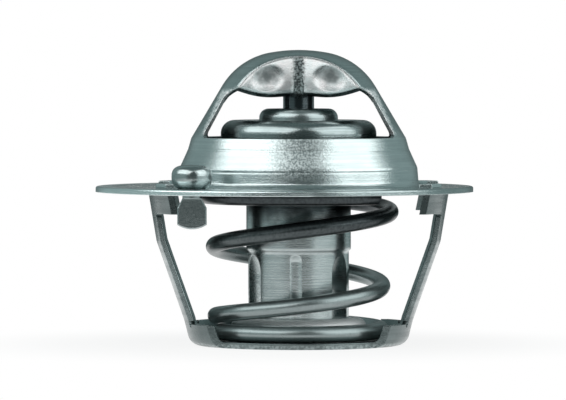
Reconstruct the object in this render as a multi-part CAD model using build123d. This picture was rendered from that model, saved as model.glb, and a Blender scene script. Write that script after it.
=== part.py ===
from build123d import *
import math
import os

# An engine thermostat with a wax capsule, in millimetres. The origin is the centre of the flange's
# outer circle on the flange's underside, with +Z up to the bridge and +X to the right.

os.makedirs("parts", exist_ok=True)

# Overall sizes
flange_diameter = 48.0
height_above_flange = 18.0
depth_below_flange = 19.5
housing_sheet = 0.7
frame_sheet = 0.75
plate_sheet = 0.8
cup_wall = 0.7
# How far a cutting shape reaches past what it cuts
overrun = 1.0
# The valve axis stands to the right of the flange's centre, away from the vent pin
valve_axis_x = 1.8

# Dome of the housing: outside radii, with heights above the flange's underside. A drop is measured
# down from the top of the crown.
foot_radius = 15.3
foot_fillet = 0.9
wall_top_radius = 15.1
wall_top_z = 3.1
seat_top_radius = 14.05
seat_top_z = 5.4
band_top_radius = 13.65
band_top_z = 6.8
crown_start_radius = 9.75
crown_start_drop = 4.6
crown_top_radius = 20.0
dome_blend = 1.0
flange_edge_round = 0.25

# Windows in the front and back of the dome
sill_z = 6.9
sill_half_width = 11.95
sill_corner = 0.5
window_side_drop = 6.7
window_side_half_width = 9.95
window_corner_x = 9.2
window_corner_drop = 5.5
window_arch_x = 7.6
window_arch_drop = 5.25
window_dip_x = 6.1
window_dip_drop = 5.25
window_top_x = 4.4
window_top_drop = 5.15
window_middle_drop = 4.7
# The windows widen outwards from this depth in front of the axis, for each millimetre
window_depth = 5.0
window_side_draft = 0.035
window_crown_draft = 0.5

# Crown pressed in front and back: a leaning hollow, with a groove and two dents in it
press_start_drop = 6.4
flank_radius = 15.0
flank_low_y = 3.33
flank_high_drop = 0.9
flank_high_y = 5.2
groove_half_width = 0.7
grip_clearance = 0.02
dent_x = 3.9
dent_drop = 3.4
dent_radius = 6.0
dent_depth = 0.25

# Piston
piston_radius = 1.975
piston_tip_round = 0.6
piston_length = 28.5
piston_tip_gap = 0.08

# Valve plate
boss_radius = 9.9
boss_top_z = 9.1
boss_shoulder = 1.7
spring_seat_z = 0.6
rim_radius = 13.0
rim_top_z = 4.1
plate_bend = 0.4

# Rubber bead on the rim
bead_bottom_z = 3.1
bead_top_z = 4.95
bead_inner_radius = 11.7
bead_round = 0.3
bead_set_back = 0.35
seat_gap = 0.08

# Piston guide
guide_dome_radius = 5.0
guide_top_z = 10.55
guide_dome_round = 1.15
guide_flange_radius = 8.25
piston_clearance = 0.03
fit_clearance = 0.05

# Wax capsule
capsule_upper_radius = 6.65
capsule_lower_radius = 6.4
capsule_step_z = -7.3
capsule_bottom_z = -18.3
capsule_bottom_round = 1.0
crimp_radius = 9.05
crimp_lip_radius = 7.3
crimp_round = 0.9
capsule_ledge_z = 4.8
flute_count = 6
flute_top_z = -7.9
flute_first_angle = 206.5
broad_flute_radius = 8.0
broad_flute_depth = 0.4
narrow_flute_radius = 1.6
narrow_flute_depth = 0.25

# Sleeve and ring round the piston
sleeve_radius = 3.1
sleeve_flange_height = 0.7
sleeve_end_wall = 1.2
sleeve_clearance = 0.05
piston_end_gap = 0.3
ring_radius = 3.4
ring_height = 0.8

# Spring
wire_diameter = 2.1
spring_top_radius = 11.85
spring_body_radius = 11.0
spring_bottom_radius = 10.35
spring_first_turn = -0.9
spring_last_turn = 2.45
narrow_first_turn = 0.0
narrow_last_turn = 0.55
fall_first_turn = -0.5
fall_last_turn = 2.3
spring_steps_per_turn = 16
seat_touch = 0.02

# Lower frame
leg_top_radius = 19.1
leg_bend_radius = 18.05
leg_bend_z = -6.3
leg_foot_radius = 14.55
leg_foot_z = -16.3
leg_top_half_width = 4.8
leg_foot_half_width = 4.3
leg_edge_round = 0.22
relief_radius = 0.4
leg_bend_round = 2.0
tab_half_width = 9.6
tab_bottom_z = -2.65
tongue_width = 2.0
tongue_stand = 0.5
tongue_head = 0.3
tongue_head_gap = 0.02
slot_clearance = 0.06
base_radius = 12.5
wing_half_width = 8.6
wing_top_z = -16.65
cup_foot_radius = 13.75
cup_corner_round = 1.6
collar_foot_round = 0.5
collar_radius = 8.6
collar_foot_radius = collar_radius + 1.0
collar_top_z = -16.0
guide_hole_radius = 6.95
collar_round = 1.1

# Vent pin
vent_angle = 232.5
vent_rim_distance = 5.1
vent_hole_radius = 1.45
vent_head_radius = 2.55
vent_head_height = 3.0
vent_belt_height = 0.3
vent_foot_radius = 1.75
vent_shank_radius = 1.2
vent_shank_bottom_z = -0.45
paddle_width = 3.65
paddle_thickness = 0.9
paddle_shoulder_z = -1.65
paddle_side_z = -3.75
paddle_bottom_z = -4.3
paddle_edge_round = 0.12
vent_rest_gap = 0.03


def section(line):
    """The face inside a closed line drawn with radius across and height up, stood on the XZ plane."""
    return Plane.XZ * make_face(line)


def turned(points, radii=0.0):
    """A turned solid from its outline's corners, each with its own rounding."""
    return revolve(section(FilletPolyline(*points, radius=radii, close=True)), Axis.Z)


def sheet_of_revolution(points, radii, thickness, side):
    """Drawn sheet: the line through the points, thickened to one side and turned about the axis."""
    line = FilletPolyline(*points, radius=radii)
    return revolve(Plane.XZ * make_face(offset(line, thickness, side=side, kind=Kind.TANGENT)), Axis.Z)


def on_axis(shape):
    """Moves a shape drawn about the origin to the valve axis."""
    return Pos(valve_axis_x, 0, 0) * shape


def box_between(low, high):
    """A box from its lowest corner to its highest."""
    size = [b - a for a, b in zip(low, high)]
    middle = [(a + b) / 2 for a, b in zip(low, high)]
    return Pos(*middle) * Box(*size)


def seat_radius(z):
    """Inside radius of the housing's conical seat at a height."""
    run = wall_top_radius - seat_top_radius
    rise = seat_top_z - wall_top_z
    slant = math.hypot(run, rise)
    outside = wall_top_radius - run * (z - wall_top_z) / rise
    return outside - housing_sheet * slant / rise


# Flange housing
def dome_line():
    """The dome's outside line, from the flange inwards and up to the level top of the crown."""
    corners = [
        (foot_radius + 3 * foot_fillet, housing_sheet),
        (foot_radius, housing_sheet),
        (wall_top_radius, wall_top_z),
        (seat_top_radius, seat_top_z),
        (band_top_radius, band_top_z),
        (crown_start_radius, height_above_flange - crown_start_drop),
    ]
    straight = FilletPolyline(*corners, radius=[foot_fillet, dome_blend, dome_blend, dome_blend])
    return straight + crown_arcs(Vector(*corners[-2]), Vector(*corners[-1]))


def crown_arcs(before, start):
    """A corner arc that carries on from the cone and a flatter arc that is level at the top."""
    slope = (start - before).normalized()
    inwards = Vector(-slope.Y, slope.X)
    top_centre = Vector(0, height_above_flange - crown_top_radius)
    gap = start - top_centre
    corner_radius = (crown_top_radius**2 - gap.length**2) / (2 * (gap.dot(inwards) + crown_top_radius))
    corner_centre = start + inwards * corner_radius
    meeting = top_centre + (corner_centre - top_centre).normalized() * crown_top_radius
    corner = TangentArc(start, meeting, tangent=slope)
    top = TangentArc(meeting, (0, height_above_flange), tangent=corner % 1)
    return corner + top


def dome_outside():
    """The dome filled in down to the flange's underside."""
    line = dome_line()
    edge_radius = foot_radius + 3 * foot_fillet
    closing = Polyline((0, height_above_flange), (0, 0), (edge_radius, 0), (edge_radius, housing_sheet))
    return revolve(section(line + closing), Axis.Z)


def dome_inside():
    """The room under the dome's sheet."""
    line = offset(dome_line(), housing_sheet, side=Side.LEFT, closed=False)
    edge_radius = foot_radius + 3 * foot_fillet
    top_z = height_above_flange - housing_sheet
    closing = Polyline((0, top_z), (0, -overrun), (edge_radius, -overrun), (edge_radius, 0))
    return revolve(section(line + closing), Axis.Z)


def flank_y(drop, low_y):
    """How far in front of the axis a pressed line lies at a drop, from its depth at the lower end."""
    share = (press_start_drop - drop) / (press_start_drop - flank_high_drop)
    return low_y + (flank_high_y - low_y) * share


def hollow_tool(grow):
    """A leaning round bar that presses the flank hollow, with two balls that dent it."""
    lean = math.atan((flank_high_y - flank_low_y) / (press_start_drop - flank_high_drop))
    axis_y = -flank_y(dent_drop, flank_low_y) - flank_radius * math.cos(lean)
    axis_z = height_above_flange - dent_drop - flank_radius * math.sin(lean)
    leaning = Plane(origin=(0, axis_y, axis_z), x_dir=(1, 0, 0), z_dir=(0, -math.sin(lean), math.cos(lean)))
    bar = extrude(leaning * Circle(flank_radius + grow), foot_radius, both=True)
    ball_centre = flank_radius + dent_depth - dent_radius
    ball_x = dent_x * ball_centre / flank_radius
    ball_y = math.sqrt(ball_centre**2 - ball_x**2)
    for side in (-1, 1):
        bar += leaning * Pos(side * ball_x, ball_y, 0) * Sphere(dent_radius + grow)
    return bar


def groove_tool(grow):
    """A round-nosed blade that presses the groove against the piston, deepest at the free edge."""
    deepest = piston_radius + housing_sheet + grip_clearance
    nose_y = -deepest - groove_half_width
    nose_radius = groove_half_width + grow
    profile = Pos(0, nose_y) * Circle(nose_radius)
    profile += Pos(0, nose_y - foot_radius / 2) * Rectangle(2 * nose_radius, foot_radius)
    run = Vector(0, deepest - flank_y(-overrun, deepest), press_start_drop + overrun)
    return extrude(Pos(0, 0, height_above_flange - press_start_drop) * profile, amount=run.length, dir=run)


def press_tool(grow):
    """What presses the crown's front flank in. Grown by the sheet it leaves the inside of the pressed sheet."""
    reach = 3 * foot_radius
    low_z = height_above_flange - press_start_drop
    above = box_between((-reach, -reach, low_z), (reach, 0, height_above_flange + overrun))
    return (hollow_tool(grow) + groove_tool(grow)) & above


def window_faces(depth):
    """The window's outline at a depth in front of the axis: its straight-sided part and its crown edge."""
    wider = 1 + window_side_draft * (depth - window_depth)
    lift = window_crown_draft * (depth - window_depth)
    side_x = window_side_half_width * wider
    side_z = height_above_flange - window_side_drop
    sill_x = sill_half_width * wider
    corners = [(side_x, side_z), (sill_x, sill_z), (-sill_x, sill_z), (-side_x, side_z)]
    opening = FilletPolyline(*corners, radius=sill_corner)
    opening += Line(opening @ 1, opening @ 0)
    right = [
        (window_side_half_width, window_side_drop),
        (window_corner_x, window_corner_drop),
        (window_arch_x, window_arch_drop),
        (window_dip_x, window_dip_drop),
        (window_top_x, window_top_drop),
    ]
    points = right + [(0, window_middle_drop)] + [(-x, drop) for x, drop in reversed(right)]
    edge = Spline(*[(x * wider, height_above_flange - drop + lift) for x, drop in points])
    low_z = sill_z + sill_corner
    below = Polyline(edge @ 1, (-side_x, low_z), (side_x, low_z), edge @ 0)
    upright = Plane.XZ.offset(depth)
    return upright * make_face(opening), upright * make_face(edge + below)


def window_cutter():
    """One tool for the front window, narrowing inwards as far as the piston."""
    outer = window_faces(foot_radius + overrun)
    inner = window_faces(piston_radius)
    return loft([outer[0], inner[0]], ruled=True) + loft([outer[1], inner[1]], ruled=True)


def tongue_band(grow):
    """The four places where the lower frame's tongues pass through the flange."""
    outer = leg_top_radius + grow
    inner = leg_top_radius - frame_sheet - grow
    height = housing_sheet + tongue_stand
    ring = extrude(Circle(outer) - Circle(inner), height)
    bands = []
    for side in (-1, 1):
        middle_y = side * (tab_half_width - tongue_width / 2)
        half_width = tongue_width / 2 + grow
        low = (-outer, middle_y - half_width, 0)
        high = (outer, middle_y + half_width, height)
        bands.append(ring & box_between(low, high))
    return bands[0] + bands[1]


def vent_place():
    """The vent hole's place, a little way in from the flange's rim."""
    out = flange_diameter / 2 - vent_rim_distance
    angle = math.radians(vent_angle)
    return Pos(out * math.cos(angle) - valve_axis_x, out * math.sin(angle), 0)


def flange_housing():
    outside = dome_outside()
    inside = dome_inside()
    windows = []
    for turn in (0, 180):
        outside -= Rot(0, 0, turn) * press_tool(0)
        inside -= Rot(0, 0, turn) * press_tool(housing_sheet)
        windows.append(Rot(0, 0, turn) * window_cutter())
    shell = outside - inside - windows
    disc = Pos(-valve_axis_x, 0, 0) * extrude(Circle(flange_diameter / 2), housing_sheet)
    disc = fillet(disc.edges().group_by(Axis.Z)[-1], flange_edge_round)
    disc -= extrude(Circle(foot_radius + 2 * foot_fillet), housing_sheet)
    flange = shell + disc - tongue_band(slot_clearance)
    flange -= vent_place() * extrude(Circle(vent_hole_radius), housing_sheet)
    return on_axis(flange)


# Piston
def piston():
    top_z = height_above_flange - housing_sheet - piston_tip_gap
    body = Pos(0, 0, top_z - piston_length / 2) * Cylinder(piston_radius, piston_length)
    return on_axis(chamfer(body.edges(), piston_tip_round))


# Valve plate, with its boss, its spring seat and its turned-up rim
def plate_line():
    ring_z = spring_seat_z + plate_sheet
    rim_inside = rim_radius - plate_sheet
    return [
        (guide_dome_radius + fit_clearance, boss_top_z),
        (boss_radius, boss_top_z),
        (boss_radius, ring_z),
        (rim_inside, ring_z),
        (rim_inside, rim_top_z),
    ]


def valve_plate():
    radii = [boss_shoulder, plate_bend, plate_bend]
    return on_axis(sheet_of_revolution(plate_line(), radii, plate_sheet, Side.RIGHT))


def valve_seal():
    lip_z = bead_bottom_z + 2 * bead_round
    outline = [
        (bead_inner_radius, bead_bottom_z),
        (seat_radius(bead_bottom_z) - seat_gap - bead_set_back, bead_bottom_z),
        (seat_radius(lip_z) - seat_gap, lip_z),
        (seat_radius(bead_top_z) - seat_gap, bead_top_z),
        (bead_inner_radius, bead_top_z),
    ]
    bead = turned(outline, bead_round)
    return on_axis(bead) - valve_plate()


# Wax capsule
def flute_tools(grow):
    """Round-topped bars that press the flutes into the lower half of the capsule, broad and narrow in turn."""
    tools = []
    for number in range(flute_count):
        broad = number % 2 == 0
        bar_radius = broad_flute_radius if broad else narrow_flute_radius
        bar_depth = broad_flute_depth if broad else narrow_flute_depth
        reach = capsule_lower_radius - bar_depth + bar_radius
        height = flute_top_z - capsule_bottom_z + overrun
        arch = math.sqrt(bar_radius**2 - (bar_radius - bar_depth) ** 2)
        bar = Pos(reach, 0, flute_top_z - arch - height / 2) * Cylinder(bar_radius + grow, height)
        ball = Pos(reach, 0, flute_top_z - arch) * Sphere(bar_radius + grow)
        tools.append(Rot(0, 0, flute_first_angle + number * 360 / flute_count) * (bar + ball))
    return tools


def capsule_room():
    """The space inside the capsule under the sleeve's flange, which the wax fills."""
    upper = capsule_upper_radius - cup_wall
    lower = capsule_lower_radius - cup_wall
    step = capsule_upper_radius - capsule_lower_radius
    outline = [
        (0, capsule_ledge_z + cup_wall),
        (upper, capsule_ledge_z + cup_wall),
        (upper, capsule_step_z),
        (lower, capsule_step_z - step),
        (lower, capsule_bottom_z + cup_wall),
        (0, capsule_bottom_z + cup_wall),
    ]
    room = turned(outline, [0, 0, 0, 0, capsule_bottom_round - cup_wall, 0])
    for tool in flute_tools(cup_wall):
        room -= tool
    return room


def capsule_cup():
    step = capsule_upper_radius - capsule_lower_radius
    lip_z = boss_top_z - plate_sheet
    outline = [
        (0, lip_z),
        (crimp_radius, lip_z),
        (crimp_radius, capsule_ledge_z),
        (capsule_upper_radius, capsule_ledge_z),
        (capsule_upper_radius, capsule_step_z),
        (capsule_lower_radius, capsule_step_z - step),
        (capsule_lower_radius, capsule_bottom_z),
        (0, capsule_bottom_z),
    ]
    cup = turned(outline, [0, crimp_round, crimp_round, 0.3, 0, 0, capsule_bottom_round, 0])
    for tool in flute_tools(0):
        cup -= tool
    cup -= capsule_room()
    stack_height = lip_z - cup_wall - (capsule_ledge_z + cup_wall)
    stack_z = capsule_ledge_z + cup_wall
    cup -= Pos(0, 0, stack_z + stack_height / 2) * Cylinder(guide_flange_radius, stack_height)
    cup -= Pos(0, 0, lip_z) * Cylinder(crimp_lip_radius, 4 * cup_wall)
    return on_axis(cup)


def guide_base_z():
    """Underside of the guide, on top of the sleeve's flange."""
    return capsule_ledge_z + cup_wall + sleeve_flange_height


def piston_guide():
    bottom = guide_base_z()
    flange_top = boss_top_z - plate_sheet - cup_wall
    bore = piston_radius + piston_clearance
    outline = [
        (bore, bottom),
        (guide_flange_radius, bottom),
        (guide_flange_radius, flange_top),
        (guide_dome_radius, flange_top),
        (guide_dome_radius, guide_top_z),
        (bore, guide_top_z),
    ]
    guide = turned(outline, [0, 0.2, 0.2, 0, guide_dome_round, 0.15])
    return on_axis(guide - Pos(0, 0, bottom) * Cylinder(ring_radius, 2 * ring_height))


def backup_ring():
    bottom = guide_base_z()
    bore = piston_radius + piston_clearance
    outline = [(bore, bottom), (ring_radius, bottom), (ring_radius, bottom + ring_height), (bore, bottom + ring_height)]
    return on_axis(turned(outline))


def piston_end_z():
    return height_above_flange - housing_sheet - piston_tip_gap - piston_length


def sleeve_solid():
    """The sleeve's outside, filled in."""
    top = guide_base_z()
    ledge = capsule_ledge_z + cup_wall
    end = piston_end_z() - piston_end_gap - sleeve_end_wall
    outline = [
        (0, top),
        (guide_flange_radius, top),
        (guide_flange_radius, ledge),
        (sleeve_radius, ledge),
        (sleeve_radius, end),
        (0, end),
    ]
    return turned(outline, [0, 0, 0, 0, sleeve_radius * 0.8, 0])


def rubber_boot():
    top = guide_base_z()
    bore = piston_radius + sleeve_clearance
    end = piston_end_z() - piston_end_gap
    hole = Pos(0, 0, (top + end) / 2) * Cylinder(bore, top - end)
    return on_axis(sleeve_solid() - hole)


def wax_charge():
    return on_axis(capsule_room() - sleeve_solid())


# Spring: a wide top coil, then turns on a slight cone down to a closed end
def share_of(value, first, last):
    """How far a value has come from first to last, from 0 to 1."""
    return min(max((value - first) / (last - first), 0), 1)


def spring_point(turn):
    """A point of the wire's centre line; turns are counted downwards from the right-hand side."""
    radius = spring_body_radius + (spring_bottom_radius - spring_body_radius) * share_of(
        turn, spring_first_turn, spring_last_turn
    )
    step_in = share_of(turn, narrow_first_turn, narrow_last_turn)
    radius += (spring_top_radius - spring_body_radius) * (1 - step_in * step_in * (3 - 2 * step_in))
    # Level at both ends, and steepest a little before the middle
    fall = share_of(turn, fall_first_turn, fall_last_turn)
    drop = 1 - (1 - fall**1.8) ** 2.8
    top_z = spring_seat_z - wire_diameter / 2 - seat_touch
    bottom_z = frame_sheet - depth_below_flange + wire_diameter / 2 + seat_touch
    angle = -2 * math.pi * turn
    return Vector(radius * math.cos(angle), radius * math.sin(angle), top_z + (bottom_z - top_z) * drop)


def valve_spring():
    steps = round((spring_last_turn - spring_first_turn) * spring_steps_per_turn)
    turns = [spring_first_turn + (spring_last_turn - spring_first_turn) * k / steps for k in range(steps + 1)]
    path = Spline(*[spring_point(turn) for turn in turns])
    start = Plane(origin=path @ 0, z_dir=path % 0)
    return on_axis(sweep(start * Circle(wire_diameter / 2), path=path, is_frenet=True))


# Lower frame
def frame_line():
    """Outside line of a leg, from just over the flange's underside down and in to the base."""
    base_z = -depth_below_flange
    slope = (leg_top_radius - leg_bend_radius) / leg_bend_z
    return [
        (leg_top_radius - slope * frame_sheet, frame_sheet),
        (leg_bend_radius, leg_bend_z),
        (leg_foot_radius, leg_foot_z),
        (cup_foot_radius, base_z),
        (collar_foot_radius, base_z),
    ]


def frame_radii():
    return [leg_bend_round, leg_bend_round, cup_corner_round]


def frame_band(thickness):
    """The frame's wall as a full ring, with a thickness inwards."""
    return sheet_of_revolution(frame_line(), frame_radii(), thickness, Side.RIGHT)


def leg_prism():
    """A tapered bar along X, as wide as the legs."""
    low_z = wing_top_z - frame_sheet
    top_half = leg_top_half_width
    low_half = leg_foot_half_width
    outline = Polyline((-top_half, 0), (top_half, 0), (low_half, low_z), (-low_half, low_z), close=True)
    return extrude(Plane.YZ * make_face(outline), leg_top_radius + overrun, both=True)


def legs():
    """Two tapered strips of the frame's wall, their inner edges rounded."""
    strips = frame_band(frame_sheet) & leg_prism()
    inner_edges = [edge for edge in strips.edges() if is_inner_leg_edge(edge)]
    return fillet(inner_edges, leg_edge_round)


def is_inner_leg_edge(edge):
    """True for the long edges on the inside of the legs, between the tabs and the wings."""
    middle = edge @ 0.5
    across = math.hypot(middle.X, middle.Y)
    on_side = abs(middle.Y) > leg_foot_half_width - 0.1
    inside = across < outside_radius(middle.Z) - frame_sheet / 2
    return on_side and inside and wing_top_z < middle.Z < tab_bottom_z


def outside_radius(z):
    """Outside radius of the leg's line at a height, its bends left sharp."""
    corners = frame_line()
    for (top_r, top_z), (low_r, low_z) in zip(corners, corners[1:]):
        if z >= low_z:
            return top_r + (low_r - top_r) * (top_z - z) / (top_z - low_z)
    return cup_foot_radius


def relief_cuts():
    """Small round reliefs in the corners between the legs and what they widen into, outside the spring."""
    into = relief_radius / 2
    reach = leg_top_radius + overrun
    bar = Rot(0, 90, 0) * Cylinder(relief_radius, 2 * reach)
    bar -= Rot(0, 90, 0) * Cylinder(relief_radius, 2 * spring_top_radius)
    cuts = []
    for side in (-1, 1):
        cuts.append(Pos(0, side * (leg_top_half_width + into), tab_bottom_z - into) * bar)
        cuts.append(Pos(0, side * (leg_foot_half_width + into), wing_top_z) * bar)
    return cuts


def lower_frame():
    base_z = -depth_below_flange
    reach = leg_top_radius + overrun
    wall = frame_band(frame_sheet)
    tabs = wall & box_between((-reach, -tab_half_width, tab_bottom_z), (reach, tab_half_width, 0))
    wings = wall & box_between((-reach, -wing_half_width, base_z), (reach, wing_half_width, wing_top_z))
    disc = Pos(0, 0, base_z + frame_sheet / 2) * Cylinder(base_radius, frame_sheet)
    disc -= Pos(0, 0, base_z + frame_sheet / 2) * Cylinder(collar_foot_radius, frame_sheet)
    collar_line = [
        (collar_foot_radius, base_z + frame_sheet),
        (collar_radius, base_z + frame_sheet),
        (collar_radius, collar_top_z),
        (guide_hole_radius, collar_top_z),
    ]
    collar = sheet_of_revolution(collar_line, [collar_foot_round, collar_round], frame_sheet, Side.LEFT)
    head_z = housing_sheet + tongue_head_gap
    heads = tongue_band(tongue_head) & box_between((-2 * reach, -reach, head_z), (2 * reach, reach, 2 * head_z))
    heads = fillet(heads.edges().group_by(Axis.Z)[-1], tongue_head / 2)
    frame = tabs + wings + disc + collar + legs() + tongue_band(0) + heads
    return on_axis(frame - relief_cuts())


# Vent pin: a rounded head, a shank through the flange and a flattened tail
def vent_pin():
    base = housing_sheet + vent_rest_gap
    middle = base + vent_head_height / 2
    belt = vent_belt_height / 2
    low_rim = Vector(vent_head_radius, middle - belt)
    high_rim = Vector(vent_head_radius, middle + belt)
    top = Vector(0, base + vent_head_height)
    head_line = Polyline(top, (0, base), (vent_foot_radius, base))
    head_line += Spline((vent_foot_radius, base), low_rim, tangents=[Vector(1, 0.5), Vector(0, 1)])
    head_line += Line(low_rim, high_rim)
    head_line += Spline(high_rim, top, tangents=[Vector(0, 1), Vector(-1, 0)])
    head = revolve(section(head_line), Axis.Z)
    shank_height = base - vent_shank_bottom_z
    shank = Pos(0, 0, base - shank_height / 2) * Cylinder(vent_shank_radius, shank_height)
    half = paddle_width / 2
    neck = vent_shank_radius
    tail_line = Polyline(
        (half, paddle_side_z),
        (half, paddle_shoulder_z),
        (neck, vent_shank_bottom_z),
        (-neck, vent_shank_bottom_z),
        (-half, paddle_shoulder_z),
        (-half, paddle_side_z),
    )
    tail_line += ThreePointArc((-half, paddle_side_z), (0, paddle_bottom_z), (half, paddle_side_z))
    tail = extrude(section(tail_line), paddle_thickness / 2, both=True)
    long_edges = [edge for edge in tail.edges() if abs((edge @ 0.5).Y) > paddle_thickness / 3]
    tail = chamfer(long_edges, paddle_edge_round)
    return on_axis(vent_place() * (head + shank + tail))


PIECES = {
    "flange_housing": flange_housing,
    "lower_frame": lower_frame,
    "piston": piston,
    "piston_guide": piston_guide,
    "valve_plate": valve_plate,
    "valve_seal": valve_seal,
    "capsule_cup": capsule_cup,
    "backup_ring": backup_ring,
    "rubber_boot": rubber_boot,
    "wax_charge": wax_charge,
    "valve_spring": valve_spring,
    "vent_pin": vent_pin,
}

for name, make in PIECES.items():
    export_step(make(), f"parts/{name}.step")
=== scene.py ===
import math

import bpy
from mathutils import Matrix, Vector


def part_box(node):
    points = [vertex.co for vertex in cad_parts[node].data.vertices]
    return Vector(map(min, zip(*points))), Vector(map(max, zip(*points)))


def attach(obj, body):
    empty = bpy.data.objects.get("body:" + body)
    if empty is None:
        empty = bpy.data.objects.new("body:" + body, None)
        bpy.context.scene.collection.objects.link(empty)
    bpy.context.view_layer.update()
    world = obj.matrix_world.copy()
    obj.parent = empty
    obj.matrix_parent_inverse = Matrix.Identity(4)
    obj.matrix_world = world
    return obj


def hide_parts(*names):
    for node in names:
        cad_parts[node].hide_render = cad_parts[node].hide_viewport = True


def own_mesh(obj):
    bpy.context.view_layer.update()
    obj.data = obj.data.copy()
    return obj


# The finish of an engine thermostat's pieces, with a white ground, soft light and the photograph's
# view. Everything is in metres, in the frame of the CAD model, with +Z up and the camera in front, at
# -Y. Only the marks and patterns of the materials are given in millimetres.

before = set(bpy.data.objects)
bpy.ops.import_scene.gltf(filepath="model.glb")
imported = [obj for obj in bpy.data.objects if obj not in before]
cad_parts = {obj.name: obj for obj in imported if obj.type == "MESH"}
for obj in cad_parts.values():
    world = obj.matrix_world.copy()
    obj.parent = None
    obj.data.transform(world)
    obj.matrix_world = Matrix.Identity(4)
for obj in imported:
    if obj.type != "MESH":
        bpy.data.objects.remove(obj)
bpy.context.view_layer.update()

millimetre = 0.001
plate_low, plate_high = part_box("valve_plate")
valve_axis_x = (plate_low.x + plate_high.x) / 2
floor_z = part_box("lower_frame")[0].z

# The photograph's view: its scale at the valve axis, and the point in the middle of it
photo_width = 566
photo_pixels_per_metre = 7867
photo_middle = Vector((-0.00018, 0, -0.00108))
camera_distance = 0.70
camera_height = 0.0187
nearest_seen = 0.01

# The studio round the object: how bright each side is, where 1 is white. A reach says where a side
# starts and where it is whole, as a share of the way to looking straight at it
room_brightness = 0.34
room_colour = (0.76, 1.0, 1.0)
back_brightness = 0.16
back_reach = (0.80, 0.97)
front_brightness = 0.08
front_reach = (0.78, 0.95)
sky_brightness = 0.20
sky_reach = (0.50, 0.95)
sheet_reach = (0.9976, 0.9994)

# Soft lamps: azimuth to the right of the camera, elevation, width, height and brightness
lamp_distance = 0.55
lamps = {
    "left_lamp": (-52, 38, 0.84, 0.46, 1.7),
    "right_lamp": (62, 30, 0.64, 0.58, 1.5),
}

# The ground's own shading shows only near the object, where its shadow falls
floor_half_width = 0.13
floor_colour = (0.86, 0.87, 0.87)
shadow_white_share = 0.85
shadow_reach = (0.018, 0.05)

# Radius of the light catching round on sharp edges, and of the softer one where a press mark runs out
edge_round = 0.00012
soft_round = 0.00075
bevel_samples = 10

# How much the lines of a turned surface change to a millimetre along them
lines_change_per_mm = 0.07

white = (1, 1, 1)


# Shader nodes
def add(tree, kind, inputs=None, **settings):
    """A new node with its settings and its inputs, each a value or another node's output."""
    node = tree.nodes.new(kind)
    for name, value in settings.items():
        setattr(node, name, value)
    for name, value in (inputs or {}).items():
        if isinstance(value, bpy.types.NodeSocket):
            tree.links.new(value, node.inputs[name])
        else:
            node.inputs[name].default_value = value
    return node


def calc(tree, operation, first, second=0.0):
    """One step of arithmetic on two values, each a number or another node's output."""
    return add(tree, "ShaderNodeMath", {0: first, 1: second}, operation=operation).outputs["Value"]


def all_of(tree, *shares):
    """The product of several shares."""
    product = shares[0]
    for share in shares[1:]:
        product = calc(tree, "MULTIPLY", product, share)
    return product


def diagonal(tree, first, second):
    """How long the diagonal of two sides is."""
    squares = calc(tree, "ADD", all_of(tree, first, first), all_of(tree, second, second))
    return calc(tree, "SQRT", squares)


def between(tree, share, low, high):
    """A value from low to high as the share goes from 0 to 1."""
    inputs = {"Value": share, "To Min": low, "To Max": high}
    return add(tree, "ShaderNodeMapRange", inputs).outputs["Result"]


def rise(tree, value, low, high):
    """0 up to low and 1 from high on, smooth between them."""
    inputs = {"Value": value, "From Min": low, "From Max": high}
    return add(tree, "ShaderNodeMapRange", inputs, interpolation_type="SMOOTHSTEP").outputs["Result"]


def below(tree, value, low, high):
    """1 up to low and 0 from high on, smooth between them."""
    return calc(tree, "SUBTRACT", 1.0, rise(tree, value, low, high))


def hump(tree, value, middle, half_width):
    """1 at the middle, falling smoothly to 0 at half a width on either side."""
    away = calc(tree, "ABSOLUTE", calc(tree, "SUBTRACT", value, middle))
    return below(tree, away, 0.0, half_width)


def tint(tree, share, first, second):
    """A colour between two others, each a colour or another node's output."""
    colours = [end if isinstance(end, bpy.types.NodeSocket) else (*end, 1) for end in (first, second)]
    inputs = {"Fac": share, "Color1": colours[0], "Color2": colours[1]}
    return add(tree, "ShaderNodeMixRGB", inputs).outputs["Color"]


def times(tree, first, second):
    """One colour multiplied by another, each with its alpha or another node's output."""
    inputs = {"Fac": 1.0, "Color1": first, "Color2": second}
    return add(tree, "ShaderNodeMixRGB", inputs, blend_type="MULTIPLY").outputs["Color"]


def noise(tree, vector, scale, detail=2.0):
    """Smooth noise from 0 to 1. More detail adds finer bends to it."""
    inputs = {"Vector": vector, "Scale": scale, "Detail": detail}
    return add(tree, "ShaderNodeTexNoise", inputs).outputs["Fac"]


def wander(tree, value, place, scale, reach, detail=3.0):
    """The value moved up or down by noise, by no more than the reach."""
    return calc(tree, "ADD", value, between(tree, noise(tree, place.point, scale, detail), -reach, reach))


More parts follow.
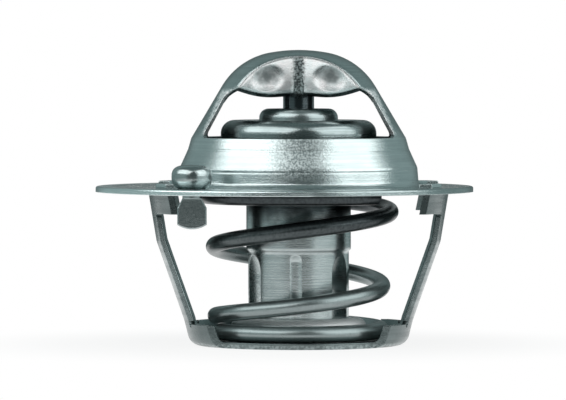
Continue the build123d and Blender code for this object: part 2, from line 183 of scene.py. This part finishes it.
class Place:
    """Where a point of a piece lies, in millimetres about the valve axis. Beside is how far it lies to
    the left or right of the axis, and radius how far from it."""

    def __init__(self, material):
        self.material = material
        self.tree = tree = material.node_tree
        held = add(tree, "ShaderNodeTexCoord").outputs["Object"]
        scale = 1 / millimetre
        shift = (-valve_axis_x * scale, 0, 0)
        inputs = {"Vector": held, "Location": shift, "Scale": (scale, scale, scale)}
        self.point = add(tree, "ShaderNodeMapping", inputs).outputs["Vector"]
        apart = add(tree, "ShaderNodeSeparateXYZ", {"Vector": self.point})
        self.x = apart.outputs["X"]
        self.y = apart.outputs["Y"]
        self.z = apart.outputs["Z"]
        self.beside = calc(tree, "ABSOLUTE", self.x)
        self.radius = diagonal(tree, self.x, self.y)

    def turned_lines(self, lines_per_mm, detail=3.0):
        """Noise that changes fast across the lines of a turned surface and slowly along them."""
        tree = self.tree
        across = calc(tree, "MULTIPLY", self.radius, lines_per_mm)
        up = calc(tree, "MULTIPLY", self.z, lines_per_mm)
        along = calc(tree, "MULTIPLY", calc(tree, "ADD", self.x, self.y), lines_change_per_mm)
        inputs = {"X": across, "Y": up, "Z": along}
        stretched = add(tree, "ShaderNodeCombineXYZ", inputs).outputs["Vector"]
        return noise(tree, stretched, scale=1.0, detail=detail)


def empty_material(name):
    """A new material's node tree with no nodes but those of its place."""
    material = bpy.data.materials.new(name)
    material.use_nodes = True
    material.node_tree.nodes.clear()
    return material.node_tree, Place(material)


def finish(place, colour, roughness, height, metallic=1.0, soft=None):
    """Puts a material's patterns on one surface shader. The height is in millimetres, and soft is 1
    where an edge runs out softly."""
    tree = place.tree
    radius = edge_round if soft is None else between(tree, soft, edge_round, soft_round)
    rounded = add(tree, "ShaderNodeBevel", {"Radius": radius}, samples=bevel_samples).outputs["Normal"]
    bump_inputs = {"Height": height, "Distance": millimetre, "Strength": 1.0, "Normal": rounded}
    normal = add(tree, "ShaderNodeBump", bump_inputs).outputs["Normal"]
    inputs = {"Base Color": colour, "Roughness": roughness, "Metallic": metallic, "Normal": normal}
    surface = add(tree, "ShaderNodeBsdfPrincipled", inputs)
    add(tree, "ShaderNodeOutputMaterial", {"Surface": surface.outputs["BSDF"]})
    return place.material


# Marks of the housing, with sizes in millimetres. A pair says where a mark starts and where it is
# whole, or where it begins to fade and where it is gone. It is a height or a distance, but a level of
# the noise for flecks, patches and wear, a share of the surface's normal for facing and leaning, and
# a share of the dent's own size for its fade. A pair named wander says how many bends an edge has to
# a millimetre and how far they reach.
dome_lines = (1.3, 2.7, 5.4)
dome_line_half_width = 0.22
dome_line_depth = 0.022

# The dome's grain is set dark in a band down the middle of its front and back: a painted dark reflection
# over real grain.
grain_per_mm = 4.2
grain_and_painted_reflection_beside = (1.2, 5.4)
grain_and_painted_reflection_low_z = (1.0, 2.4)
grain_and_painted_reflection_high_z = (7.0, 7.4)
grain_flecks = (0.40, 0.60)
grain_and_painted_reflection_grays = ((0.18, 0.22, 0.22), (0.58, 0.64, 0.64))
grain_and_painted_reflection_strength = 0.85
grain_roughness = 0.36
grain_height = 0.05

flange_top_z = (0.7, 0.9)
flange_radius = (15.6, 16.2)
flange_gray = (0.76, 0.78, 0.78)
# The rim's lightening is a painted highlight.
rim_radius = (23.75, 23.85)
rim_painted_highlight = (1.4, 1.4, 1.4)

arms_z = (6.6, 8.5)
arms_gray = (0.72, 0.74, 0.74)

# The windows' sides lean from the sill to the crown
sill_z = 6.9
sill_half_width = 11.95
window_side_z = 11.3
side_half_width = 9.95
border_low_z = (7.0, 7.6)
border_high_z = (12.6, 13.4)
border_inside = (-0.9, -0.5)
border_outside = (0.35, 0.75)
border_wander = (2.2, 0.35)
border_painted_glints_per_mm = 3.4
border_painted_glints = (0.34, 0.52)
border_gray = (0.42, 0.48, 0.48)
border_roughness = 0.52

crown_z = (11.3, 11.8)
facing_front = (0.60, 0.75)
leaning_down = (0.04, 0.14)
# The flanks' near-white tone and white patches are a painted highlight over real polish.
flank_painted_highlight_patches_per_mm = 0.9
flank_painted_highlight_patches = (0.35, 0.62)
flank_polish_and_painted_highlight = (0.94, 0.98, 0.98)
flank_bump_share = 0.25
crown_soft_z = (12.0, 12.6)

# The groove's dark grays are painted shade in the crease, with grain flecks.
groove_beside = (0.80, 1.45)
groove_high_z = (16.9, 17.5)
groove_depth_y = (5.3, 5.6)
groove_ragged = 0.9
groove_flecks_per_mm = 3.6
groove_flecks = (0.40, 0.62)
groove_grain_and_painted_shade_grays = ((0.04, 0.05, 0.05), (0.42, 0.48, 0.48))
groove_painted_shade_strength = 0.95
groove_roughness = 0.42

# The dents' dark tone is painted shade in their hollows.
dent_beside = 4.1
dent_z = 14.7
dent_half_width = 1.55
dent_half_height = 1.25
dent_wander = (1.6, 0.5)
dent_fade = (0.15, 1.35)
dent_painted_shade_gray = (0.17, 0.20, 0.20)
dent_painted_shade_strength = 0.85
dent_roughness = 0.58


def dome_marks(tree, place, colour, roughness, height):
    """The drawn dome's faint steps, its grain with a painted dark reflection down the middle of its front
    and back, and the darker flange with a painted highlight on its rim.
    """
    for line_z in dome_lines:
        ledge = hump(tree, place.z, line_z, dome_line_half_width)
        height = calc(tree, "SUBTRACT", height, calc(tree, "MULTIPLY", ledge, dome_line_depth))
    grain = noise(tree, place.point, grain_per_mm, detail=3.0)
    # Where the grain is set dark, in a band down the middle of the front and back: a painted dark
    # reflection over real grain.
    middle = below(tree, calc(tree, "ADD", place.beside, grain), *grain_and_painted_reflection_beside)
    middle = all_of(tree, middle, rise(tree, place.z, *grain_and_painted_reflection_low_z), below(tree, place.z, *grain_and_painted_reflection_high_z))
    flecks = tint(tree, rise(tree, grain, *grain_flecks), *grain_and_painted_reflection_grays)
    colour = tint(tree, calc(tree, "MULTIPLY", middle, grain_and_painted_reflection_strength), colour, flecks)
    roughness = between(tree, middle, roughness, grain_roughness)
    height = calc(tree, "ADD", height, all_of(tree, grain, middle, grain_height))
    flange = all_of(tree, below(tree, place.z, *flange_top_z), rise(tree, place.radius, *flange_radius))
    # The rim is lightened past the steel's own tone: a painted highlight.
    flange_tone = tint(tree, rise(tree, place.radius, *rim_radius), flange_gray, rim_painted_highlight)
    colour = times(tree, colour, tint(tree, flange, white, flange_tone))
    return colour, roughness, height


def arm_marks(tree, place, colour, roughness):
    """The dull arms of the bridge, with the speckled border of the windows, whose white flecks are painted
    glints.
    """
    arms = rise(tree, place.z, *arms_z)
    colour = times(tree, colour, tint(tree, arms, white, arms_gray))
    slope = (sill_half_width - side_half_width) / (window_side_z - sill_z)
    above_sill = calc(tree, "SUBTRACT", place.z, sill_z)
    edge_x = calc(tree, "SUBTRACT", sill_half_width, calc(tree, "MULTIPLY", above_sill, slope))
    out = calc(tree, "SUBTRACT", place.beside, edge_x)
    border = below(tree, wander(tree, out, place, *border_wander), *border_outside)
    border = all_of(tree, border, rise(tree, out, *border_inside))
    border = all_of(tree, border, rise(tree, place.z, *border_low_z), below(tree, place.z, *border_high_z))
    # White flecks on the window border: painted glints.
    flecks = rise(tree, noise(tree, place.point, border_painted_glints_per_mm), *border_painted_glints)
    colour = tint(tree, border, colour, tint(tree, flecks, border_gray, white))
    return colour, between(tree, border, roughness, border_roughness)


def crown_marks(tree, place, colour, roughness, height):
    """The crown's pressed flanks, polished and smooth and lightened to near white with a painted
    highlight, with painted shade in the grainy groove and in the two duller dents.
    """
    surface = add(tree, "ShaderNodeNewGeometry").outputs["Normal"]
    normal = add(tree, "ShaderNodeSeparateXYZ", {"Vector": surface})
    facing = rise(tree, calc(tree, "ABSOLUTE", normal.outputs["Y"]), *facing_front)
    leaning = rise(tree, calc(tree, "MULTIPLY", normal.outputs["Z"], -1.0), *leaning_down)
    crown = rise(tree, place.z, *crown_z)
    flank = all_of(tree, facing, leaning, crown)
    # The flanks are lightened past the steel's own tone, with white patches: a painted highlight over real
    # polish.
    painted_highlight_patches = rise(tree, noise(tree, place.point, flank_painted_highlight_patches_per_mm, detail=4.0), *flank_painted_highlight_patches)
    colour = tint(tree, flank, colour, tint(tree, painted_highlight_patches, flank_polish_and_painted_highlight, white))
    height = calc(tree, "MULTIPLY", height, between(tree, flank, 1.0, flank_bump_share))

    # The groove darkened, with grain flecks in it: painted shade in the crease.
    flecks = noise(tree, place.point, groove_flecks_per_mm, detail=3.0)
    ragged = calc(tree, "ADD", place.beside, calc(tree, "MULTIPLY", flecks, groove_ragged))
    groove = all_of(tree, below(tree, ragged, *groove_beside), crown, below(tree, place.z, *groove_high_z))
    groove = all_of(tree, groove, below(tree, calc(tree, "ABSOLUTE", place.y), *groove_depth_y))
    grainy_painted_shade = tint(tree, rise(tree, flecks, *groove_flecks), *groove_grain_and_painted_shade_grays)
    colour = tint(tree, calc(tree, "MULTIPLY", groove, groove_painted_shade_strength), colour, grainy_painted_shade)
    roughness = between(tree, groove, roughness, groove_roughness)

    # The dents' hollows darkened: painted shade.
    across = calc(tree, "DIVIDE", calc(tree, "SUBTRACT", place.beside, dent_beside), dent_half_width)
    up = calc(tree, "DIVIDE", calc(tree, "SUBTRACT", place.z, dent_z), dent_half_height)
    far = wander(tree, diagonal(tree, across, up), place, *dent_wander)
    dent = all_of(tree, below(tree, far, *dent_fade), flank)
    colour = tint(tree, calc(tree, "MULTIPLY", dent, dent_painted_shade_strength), colour, dent_painted_shade_gray)
    roughness = between(tree, dent, roughness, dent_roughness)
    return colour, roughness, height, rise(tree, place.z, *crown_soft_z)


def housing_marks(tree, place, colour, roughness, height):
    """What the dome, the bridge's arms and the crown each show."""
    colour, roughness, height = dome_marks(tree, place, colour, roughness, height)
    colour, roughness = arm_marks(tree, place, colour, roughness)
    return crown_marks(tree, place, colour, roughness, height)


# Marks of the lower frame, in millimetres in the same way
# The legs' lightening is a painted highlight, and the tabs' and feet's darkening is painted shade.
legs_z = -10.0
legs_half_length = 7.5
legs_painted_highlight = (1.35, 1.35, 1.35)
tabs_and_feet_painted_shade = (0.72, 0.74, 0.74)
base_edge_z = (-19.15, -18.85)
base_wear_per_mm = 2.4
base_edge_wear = (0.38, 0.62)
base_edge_gray = (0.48, 0.54, 0.54)
staked_heads_z = (0.42, 0.50)
staked_heads_painted_highlight = (0.72, 0.78, 0.78)
collar_radius = (9.3, 9.9)
collar_z = (-15.0, -14.5)
collar_painted_reflection = (0.98, 0.99, 0.99)
collar_roughness = 0.70


def frame_marks(tree, place, colour, roughness, height):
    """The base's worn edge, the legs lightened with a painted highlight and the tabs and feet darkened
    with painted shade, the staked heads lightened with a painted highlight, and the collar made near white
    with a painted reflection.
    """
    wear = rise(tree, noise(tree, place.point, base_wear_per_mm, detail=3.0), *base_edge_wear)
    edge = all_of(tree, below(tree, place.z, *base_edge_z), wear)
    colour = tint(tree, edge, colour, base_edge_gray)
    # Legs lightened and tabs and feet darkened: a painted highlight and painted shade.
    legs = hump(tree, place.z, legs_z, legs_half_length)
    colour = times(tree, colour, tint(tree, legs, tabs_and_feet_painted_shade, legs_painted_highlight))
    # The staked heads lightened: a painted highlight.
    colour = tint(tree, rise(tree, place.z, *staked_heads_z), colour, staked_heads_painted_highlight)
    # The collar made near white: a painted reflection of the white ground.
    collar = all_of(tree, below(tree, place.radius, *collar_radius), below(tree, place.z, *collar_z))
    colour = tint(tree, collar, colour, collar_painted_reflection)
    return colour, between(tree, collar, roughness, collar_roughness), height, None


# Marks of the capsule, in millimetres in the same way
capsule_painted_shadow_wander = (0.8, 1.2)
capsule_painted_shadow_z = (-4.6, -1.6)
capsule_painted_shadow_gray = (0.03, 0.04, 0.045)
capsule_painted_shadow_strength = 0.92
capsule_step_z = -7.45
capsule_step_half_height = 1.2


def capsule_marks(tree, place, colour, roughness, height):
    """The capsule's upper end darkened with a painted shadow under the flange, and the step in its wall,
    which runs out softly.
    """
    # The upper end under the flange darkened: a painted shadow.
    painted_shadow = rise(tree, wander(tree, place.z, place, *capsule_painted_shadow_wander, detail=2.0), *capsule_painted_shadow_z)
    colour = tint(tree, calc(tree, "MULTIPLY", painted_shadow, capsule_painted_shadow_strength), colour, capsule_painted_shadow_gray)
    return colour, roughness, height, hump(tree, place.z, capsule_step_z, capsule_step_half_height)


# A metal's own tone: its clouds, the shares of lines and clouds in it, and where it is dark and light
clouds_per_mm = 0.22
streak_share = 0.55
cloud_share = 0.45
tone_reach = (0.3, 0.7)


# Materials
def worked_steel(name, tones, roughnesses, lines, grain, marks=None):
    """Metal with turning or drawing lines, fine grain and soft clouds of tone. The tones go from dark
    to light and the roughnesses from smooth to rough. Lines and grain are how many there are to a
    millimetre and how high they stand, in millimetres."""
    tree, place = empty_material(name)
    lines_per_mm, line_height = lines
    fine_per_mm, fine_height = grain
    smooth, rough = roughnesses
    streaks = place.turned_lines(lines_per_mm)
    fine = noise(tree, place.point, fine_per_mm)
    clouds = calc(tree, "MULTIPLY", noise(tree, place.point, clouds_per_mm, detail=3.0), cloud_share)
    tone = calc(tree, "ADD", calc(tree, "MULTIPLY", streaks, streak_share), clouds)
    tone = rise(tree, tone, *tone_reach)
    colour = tint(tree, tone, *tones)
    roughness = between(tree, tone, rough, smooth)
    height = calc(tree, "MULTIPLY", streaks, line_height)
    height = calc(tree, "ADD", height, calc(tree, "MULTIPLY", fine, fine_height))
    soft = None
    if marks:
        colour, roughness, height, soft = marks(tree, place, colour, roughness, height)
    return finish(place, colour, roughness, height, soft=soft)


def housing_steel():
    """Bright drawn steel, for the stamping at the top."""
    return worked_steel(
        "housing_steel",
        tones=((0.50, 0.57, 0.57), (0.66, 0.73, 0.73)),
        roughnesses=(0.17, 0.27),
        lines=(2.6, 0.012),
        grain=(6.5, 0.024),
        marks=housing_marks,
    )


def frame_steel():
    """Darker drawn steel, for the stamping below."""
    return worked_steel(
        "frame_steel",
        tones=((0.15, 0.185, 0.185), (0.27, 0.315, 0.315)),
        roughnesses=(0.20, 0.32),
        lines=(1.4, 0.006),
        grain=(5.5, 0.010),
        marks=frame_marks,
    )


def plate_steel():
    """Gray steel with clear lines round the axis."""
    return worked_steel(
        "plate_steel",
        tones=((0.25, 0.30, 0.30), (0.44, 0.50, 0.50)),
        roughnesses=(0.16, 0.28),
        lines=(4.0, 0.016),
        grain=(5.0, 0.012),
    )


def guide_metal():
    """Gray turned metal, a little duller than the plate."""
    return worked_steel(
        "guide_metal",
        tones=((0.28, 0.33, 0.33), (0.44, 0.50, 0.50)),
        roughnesses=(0.24, 0.34),
        lines=(3.0, 0.008),
        grain=(5.0, 0.012),
    )


def capsule_metal():
    """Light metal with faint lines, darkened at its upper end by a painted shadow."""
    return worked_steel(
        "capsule_metal",
        tones=((0.40, 0.46, 0.46), (0.58, 0.64, 0.64)),
        roughnesses=(0.18, 0.28),
        lines=(5.0, 0.007),
        grain=(6.0, 0.010),
        marks=capsule_marks,
    )


def piston_steel():
    """Dark polished steel."""
    return worked_steel(
        "piston_steel",
        tones=((0.07, 0.085, 0.09), (0.16, 0.18, 0.19)),
        roughnesses=(0.10, 0.18),
        lines=(4.0, 0.006),
        grain=(5.0, 0.006),
    )


def pin_steel():
    """Plain gray steel."""
    return worked_steel(
        "pin_steel",
        tones=((0.34, 0.39, 0.39), (0.50, 0.56, 0.56)),
        roughnesses=(0.18, 0.28),
        lines=(3.0, 0.006),
        grain=(5.0, 0.008),
    )


# Marks of the spring's wire, in millimetres in the same way
wire_lines_per_mm = 3.0
wire_lines_height = 0.010
wire_oxide_per_mm = 3.0
wire_oxide_height = 0.010
wire_wear_and_painted_shade_z = (-13.0, -3.0)
wire_wear_and_painted_shade_share = 0.75
wire_oxide_share = 0.3
wire_blacks = ((0.006, 0.008, 0.011), (0.018, 0.022, 0.027))
wire_grays = ((0.24, 0.29, 0.29), (0.38, 0.43, 0.43))
wire_roughnesses = (0.24, 0.36)
wire_metallic = 0.9


def spring_steel():
    """Oxide-black wire, bluer at the top and grayer further down, with wear below and painted shade
    darkening the top under the flange.
    """
    tree, place = empty_material("spring_steel")
    lines = place.turned_lines(wire_lines_per_mm)
    oxide = noise(tree, place.point, wire_oxide_per_mm, detail=3.0)
    # Grayer further down and darker at the top: wear below, and painted shade under the flange above.
    wear_and_painted_shade = calc(tree, "MULTIPLY", below(tree, place.z, *wire_wear_and_painted_shade_z), wire_wear_and_painted_shade_share)
    wear_and_painted_shade = calc(tree, "ADD", wear_and_painted_shade, calc(tree, "MULTIPLY", oxide, wire_oxide_share))
    black = tint(tree, lines, *wire_blacks)
    gray = tint(tree, lines, *wire_grays)
    colour = tint(tree, wear_and_painted_shade, black, gray)
    roughness = between(tree, oxide, *wire_roughnesses)
    height = calc(tree, "MULTIPLY", lines, wire_lines_height)
    height = calc(tree, "ADD", height, calc(tree, "MULTIPLY", oxide, wire_oxide_height))
    return finish(place, colour, roughness, height, metallic=wire_metallic)


def moulded_rubber(name, tones, roughnesses, skin):
    """Rubber with the fine skin that the mould leaves. The skin is how many bends it has to a
    millimetre and how high they stand, in millimetres."""
    tree, place = empty_material(name)
    skin_per_mm, skin_height = skin
    bends = noise(tree, place.point, skin_per_mm, detail=3.0)
    colour = tint(tree, bends, *tones)
    roughness = between(tree, bends, *roughnesses)
    height = calc(tree, "MULTIPLY", bends, skin_height)
    return finish(place, colour, roughness, height, metallic=0.0)


def seal_rubber():
    """Black and matt."""
    return moulded_rubber(
        "seal_rubber",
        tones=((0.012, 0.013, 0.014), (0.030, 0.032, 0.033)),
        roughnesses=(0.55, 0.75),
        skin=(6.0, 0.012),
    )


def sleeve_rubber():
    """Softer and brown-black, for the sleeve inside the capsule."""
    return moulded_rubber(
        "sleeve_rubber",
        tones=((0.030, 0.022, 0.018), (0.055, 0.042, 0.034)),
        roughnesses=(0.50, 0.70),
        skin=(4.0, 0.010),
    )


# Marks of the ring and the wax, in millimetres in the same way
ring_lines_per_mm = 5.0
ring_lines_height = 0.008
ring_tones = ((0.70, 0.69, 0.65), (0.82, 0.81, 0.78))
ring_roughnesses = (0.35, 0.50)
powder_per_mm = 9.0
powder_height = 0.010
powder_flecks = (0.52, 0.66)
wax_tones = ((0.42, 0.26, 0.15), (0.72, 0.40, 0.24))
wax_roughnesses = (0.60, 0.35)


def ring_plastic():
    """White fluoroplastic with faint turning lines."""
    tree, place = empty_material("ring_plastic")
    lines = place.turned_lines(ring_lines_per_mm, detail=2.0)
    colour = tint(tree, lines, *ring_tones)
    roughness = between(tree, lines, *ring_roughnesses)
    height = calc(tree, "MULTIPLY", lines, ring_lines_height)
    return finish(place, colour, roughness, height, metallic=0.0)


def copper_wax():
    """Wax filled with copper powder."""
    tree, place = empty_material("copper_wax")
    flecks = rise(tree, noise(tree, place.point, powder_per_mm, detail=1.0), *powder_flecks)
    colour = tint(tree, flecks, *wax_tones)
    roughness = between(tree, flecks, *wax_roughnesses)
    height = calc(tree, "MULTIPLY", flecks, powder_height)
    return finish(place, colour, roughness, height, metallic=0.0)


# Pieces
piece_materials = {
    "flange_housing": housing_steel,
    "lower_frame": frame_steel,
    "piston": piston_steel,
    "piston_guide": guide_metal,
    "valve_plate": plate_steel,
    "valve_seal": seal_rubber,
    "capsule_cup": capsule_metal,
    "backup_ring": ring_plastic,
    "rubber_boot": sleeve_rubber,
    "wax_charge": copper_wax,
    "valve_spring": spring_steel,
    "vent_pin": pin_steel,
}


def dress_pieces():
    """Gives every solid its own material."""
    for name, make in piece_materials.items():
        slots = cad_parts[name].data.materials
        slots.clear()
        slots.append(make())


def shortening_spring():
    """The spring again, as its own copy of the mesh hung on the housing, with the CAD spring hidden."""
    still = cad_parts["valve_spring"]
    spring = bpy.data.objects.new("return_spring", still.data.copy())
    bpy.context.scene.collection.objects.link(spring)
    spring.matrix_world = still.matrix_world
    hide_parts("valve_spring")
    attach(spring, "housing")
    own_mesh(spring)


# Ground, world, lamps and camera
def seen_directly(tree):
    """1 for what the camera sees, also by way of metal or glass."""
    path = add(tree, "ShaderNodeLightPath")
    by_way = calc(tree, "MAXIMUM", path.outputs["Is Glossy Ray"], path.outputs["Is Transmission Ray"])
    return calc(tree, "MAXIMUM", path.outputs["Is Camera Ray"], by_way)


def white_floor():
    """A white ground that keeps a soft shadow near the object."""
    reach = floor_half_width
    corners = [(-reach, -reach), (reach, -reach), (reach, reach), (-reach, reach)]
    mesh = bpy.data.meshes.new("floor")
    mesh.from_pydata([(x, y, floor_z) for x, y in corners], [], [(0, 1, 2, 3)])
    floor = bpy.data.objects.new("floor", mesh)
    bpy.context.scene.collection.objects.link(floor)
    material = bpy.data.materials.new("floor_paper")
    material.use_nodes = True
    tree = material.node_tree
    tree.nodes.clear()
    paper = add(tree, "ShaderNodeBsdfDiffuse", {"Color": (*floor_colour, 1)})
    plain = add(tree, "ShaderNodeEmission", {"Color": (*white, 1), "Strength": 1.0})
    place = add(tree, "ShaderNodeTexCoord").outputs["Object"]
    apart = add(tree, "ShaderNodeVectorMath", {0: place, 1: (0, 0, floor_z)}, operation="DISTANCE")
    away = rise(tree, apart.outputs["Value"], *shadow_reach)
    share = calc(tree, "MULTIPLY", seen_directly(tree), between(tree, away, shadow_white_share, 1.0))
    inputs = {0: share, 1: paper.outputs["BSDF"], 2: plain.outputs["Emission"]}
    mix = add(tree, "ShaderNodeMixShader", inputs)
    add(tree, "ShaderNodeOutputMaterial", {"Surface": mix.outputs["Shader"]})
    mesh.materials.append(material)


def studio_world():
    """A gray room round the object, darker in front, behind and above, with a white sheet at the back.
    What the camera sees past the object is plain white."""
    world = bpy.data.worlds.new("studio")
    bpy.context.scene.world = world
    world.use_nodes = True
    tree = world.node_tree
    tree.nodes.clear()
    direction = add(tree, "ShaderNodeTexCoord").outputs["Generated"]
    apart = add(tree, "ShaderNodeSeparateXYZ", {"Vector": direction})
    back = apart.outputs["Y"]
    up = apart.outputs["Z"]
    level = calc(tree, "SQRT", calc(tree, "SUBTRACT", 1.0, calc(tree, "POWER", up, 2.0)))
    forward = calc(tree, "DIVIDE", back, calc(tree, "MULTIPLY", level, -1.0))
    room = between(tree, rise(tree, forward, *front_reach), room_brightness, front_brightness)
    room = between(tree, rise(tree, back, *back_reach), room, back_brightness)
    room = between(tree, rise(tree, up, *sky_reach), room, sky_brightness)
    walls = times(tree, (*room_colour, 1), room)
    seen = tint(tree, rise(tree, back, *sheet_reach), walls, white)
    around = add(tree, "ShaderNodeBackground", {"Color": seen, "Strength": 1.0})
    plain = add(tree, "ShaderNodeBackground", {"Color": (*white, 1), "Strength": 1.0})
    camera_ray = add(tree, "ShaderNodeLightPath").outputs["Is Camera Ray"]
    inputs = {0: camera_ray, 1: around.outputs["Background"], 2: plain.outputs["Background"]}
    mix = add(tree, "ShaderNodeMixShader", inputs)
    add(tree, "ShaderNodeOutputWorld", {"Surface": mix.outputs["Shader"]})


def soft_lamp(name, azimuth, elevation, width, height, brightness):
    """A soft rectangular lamp that looks at the object. The brightness is what a mirror shows of it,
    where 1 is white."""
    across = math.radians(azimuth)
    up = math.radians(elevation)
    away = Vector((math.sin(across) * math.cos(up), -math.cos(across) * math.cos(up), math.sin(up)))
    light = bpy.data.lights.new(name, "AREA")
    light.shape = "RECTANGLE"
    light.size = width
    light.size_y = height
    light.energy = brightness * math.pi * width * height
    lamp = bpy.data.objects.new(name, light)
    lamp.location = away * lamp_distance
    lamp.rotation_euler = (-away).to_track_quat("-Z", "Y").to_euler()
    bpy.context.scene.collection.objects.link(lamp)


def photo_camera():
    """The camera in front, with the lens that gives the photograph's scale at the valve axis."""
    data = bpy.data.cameras.new("photo_camera")
    data.sensor_fit = "HORIZONTAL"
    data.lens = data.sensor_width * camera_distance * photo_pixels_per_metre / photo_width
    data.clip_start = nearest_seen
    camera = bpy.data.objects.new("photo_camera", data)
    camera.location = (photo_middle.x, -camera_distance, camera_height)
    camera.rotation_euler = (photo_middle - camera.location).to_track_quat("-Z", "Y").to_euler()
    bpy.context.scene.collection.objects.link(camera)
    bpy.context.scene.camera = camera


dress_pieces()
shortening_spring()
white_floor()
studio_world()
for lamp_name, lamp_values in lamps.items():
    soft_lamp(lamp_name, *lamp_values)
photo_camera()
bpy.context.scene.view_settings.view_transform = "Standard"
